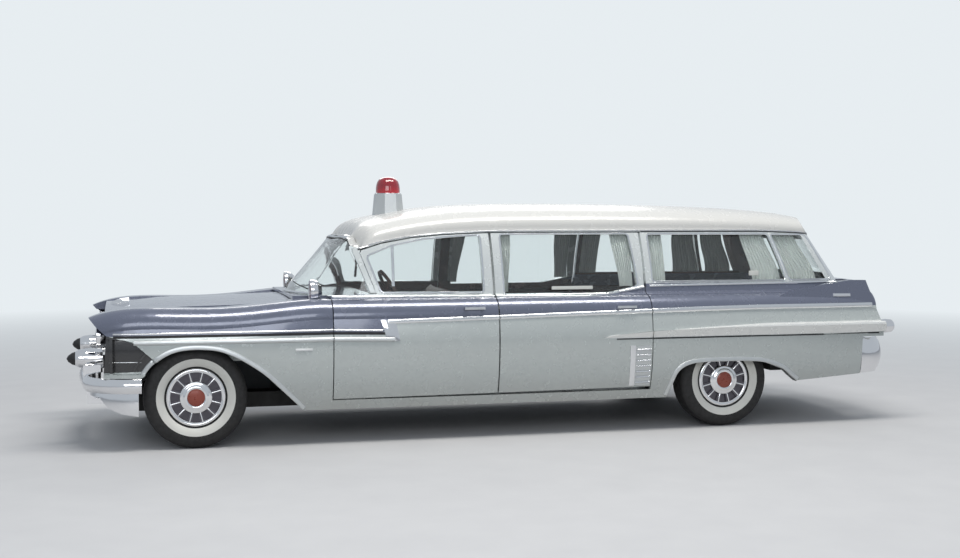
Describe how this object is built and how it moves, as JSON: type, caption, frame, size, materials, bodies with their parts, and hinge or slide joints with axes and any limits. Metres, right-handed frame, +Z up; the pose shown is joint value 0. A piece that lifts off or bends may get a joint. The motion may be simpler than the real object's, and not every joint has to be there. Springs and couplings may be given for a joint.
{
  "type": "station wagon",
  "caption": "Long-bodied wagon for passengers and cargo: hinged side doors, rear load door and hood, steered front wheels, rolling wheels, curtained windows, roof beacon.",
  "frame": {"origin": "on the ground under the middle of the car's overall box", "axes": "+X towards the front, +Y towards the car's left side, +Z up"},
  "size_m": [6.284, 2.072, 1.913],
  "materials": {
    "body_paint": "two-tone gloss paint, slate blue above and silver grey below",
    "roof_paint": "off-white gloss paint",
    "tail_paint": "silver grey gloss paint",
    "glass": "clear, faintly green",
    "bright_metal": "polished chrome",
    "lens_red": "clear red dome",
    "tip_rubber": "black",
    "tyre_rubber": "black with a wide white sidewall band",
    "frame_metal": "dusty black",
    "engine_metal": "dull",
    "seat_cloth": "dark red-brown",
    "wheel_plastic": "dark",
    "curtain_cloth": "thin gathered cloth"
  },
  "bodies": {
    "car_body": {"beacon_base": "bright_metal", "beacon_lens": "lens_red", "body_frame": "body_paint", "bumper_tips": "tip_rubber", "chassis_frame": "frame_metal", "cowl": "frame_metal", "curtains_quarter": "curtain_cloth", "engine_block": "engine_metal", "exhaust": "frame_metal", "fender_lamps": "bright_metal", "floor_pan": "frame_metal", "front_bumper": "bright_metal", "front_fenders": "body_paint", "front_seat": "seat_cloth", "fuel_tank": "frame_metal", "grille": "bright_metal", "headlamps": "bright_metal", "leaf_springs": "frame_metal", "quarter_glass": "glass", "quarter_panels": "body_paint", "radiator": "frame_metal", "rear_axle": "frame_metal", "rear_bumper": "bright_metal", "rocker_panels": "body_paint", "roof_panel": "roof_paint", "steering_wheel": "wheel_plastic", "tail_lamps": "bright_metal", "windshield": "glass"},
    "hood": {"hood": "body_paint"},
    "door_front_left": {"door_front_left": "body_paint", "glass_front_left": "glass"},
    "door_front_right": {"door_front_right": "body_paint", "glass_front_right": "glass"},
    "door_rear_left": {"door_rear_left": "body_paint", "glass_rear_left": "glass", "curtains_rear_left": "curtain_cloth"},
    "door_rear_right": {"door_rear_right": "body_paint", "glass_rear_right": "glass", "curtains_rear_right": "curtain_cloth"},
    "tail_door": {"tail_door": "tail_paint", "tail_glass": "glass"},
    "knuckle_left": {"knuckle_left": "frame_metal"},
    "knuckle_right": {"knuckle_right": "frame_metal"},
    "wheel_front_left": {"wheel_front_left": "bright_metal", "tyre_front_left": "tyre_rubber"},
    "wheel_front_right": {"wheel_front_right": "bright_metal", "tyre_front_right": "tyre_rubber"},
    "wheel_rear_left": {"wheel_rear_left": "bright_metal", "tyre_rear_left": "tyre_rubber"},
    "wheel_rear_right": {"wheel_rear_right": "bright_metal", "tyre_rear_right": "tyre_rubber"}
  },
  "joints": [
    {"name": "hood_hinge", "type": "hinge", "parent": "car_body", "child": "hood", "pos_m": [1.59, 0, 1.013], "axis": [0, -1, 0], "range_deg": [0, 50]},
    {"name": "door_front_left_hinge", "type": "hinge", "parent": "car_body", "child": "door_front_left", "pos_m": [1.338, 1.02, 0.7], "axis": [0, 0, -1], "range_deg": [0, 65]},
    {"name": "door_front_right_hinge", "type": "hinge", "parent": "car_body", "child": "door_front_right", "pos_m": [1.338, -1.02, 0.7], "axis": [0, 0, 1], "range_deg": [0, 65]},
    {"name": "door_rear_left_hinge", "type": "hinge", "parent": "car_body", "child": "door_rear_left", "pos_m": [0.135, 1.02, 0.7], "axis": [0, 0, -1], "range_deg": [0, 65]},
    {"name": "door_rear_right_hinge", "type": "hinge", "parent": "car_body", "child": "door_rear_right", "pos_m": [0.135, -1.02, 0.7], "axis": [0, 0, 1], "range_deg": [0, 65]},
    {"name": "tail_door_hinge", "type": "hinge", "parent": "car_body", "child": "tail_door", "pos_m": [-2.968, 0.5665, 0.9], "axis": [0, 0, -1], "range_deg": [0, 100]},
    {"name": "steering_left", "type": "hinge", "parent": "car_body", "child": "knuckle_left", "pos_m": [2.278, 0.64, 0.356], "axis": [0, 0, 1], "range_deg": [-30, 30]},
    {"name": "steering_right", "type": "hinge", "parent": "car_body", "child": "knuckle_right", "pos_m": [2.278, -0.64, 0.356], "axis": [0, 0, 1], "range_deg": [-30, 30]},
    {"name": "spin_front_left", "type": "hinge", "parent": "knuckle_left", "child": "wheel_front_left", "pos_m": [2.278, 0.79, 0.356], "axis": [0, 1, 0], "continuous": true},
    {"name": "spin_front_right", "type": "hinge", "parent": "knuckle_right", "child": "wheel_front_right", "pos_m": [2.278, -0.79, 0.356], "axis": [0, 1, 0], "continuous": true},
    {"name": "spin_rear_left", "type": "hinge", "parent": "car_body", "child": "wheel_rear_left", "pos_m": [-1.684, 0.79, 0.356], "axis": [0, 1, 0], "continuous": true},
    {"name": "spin_rear_right", "type": "hinge", "parent": "car_body", "child": "wheel_rear_right", "pos_m": [-1.684, -0.79, 0.356], "axis": [0, 1, 0], "continuous": true}
  ],
  "couplings": [
    {"joint": "steering_right", "follows": "steering_left", "ratio": 1}
  ]
}
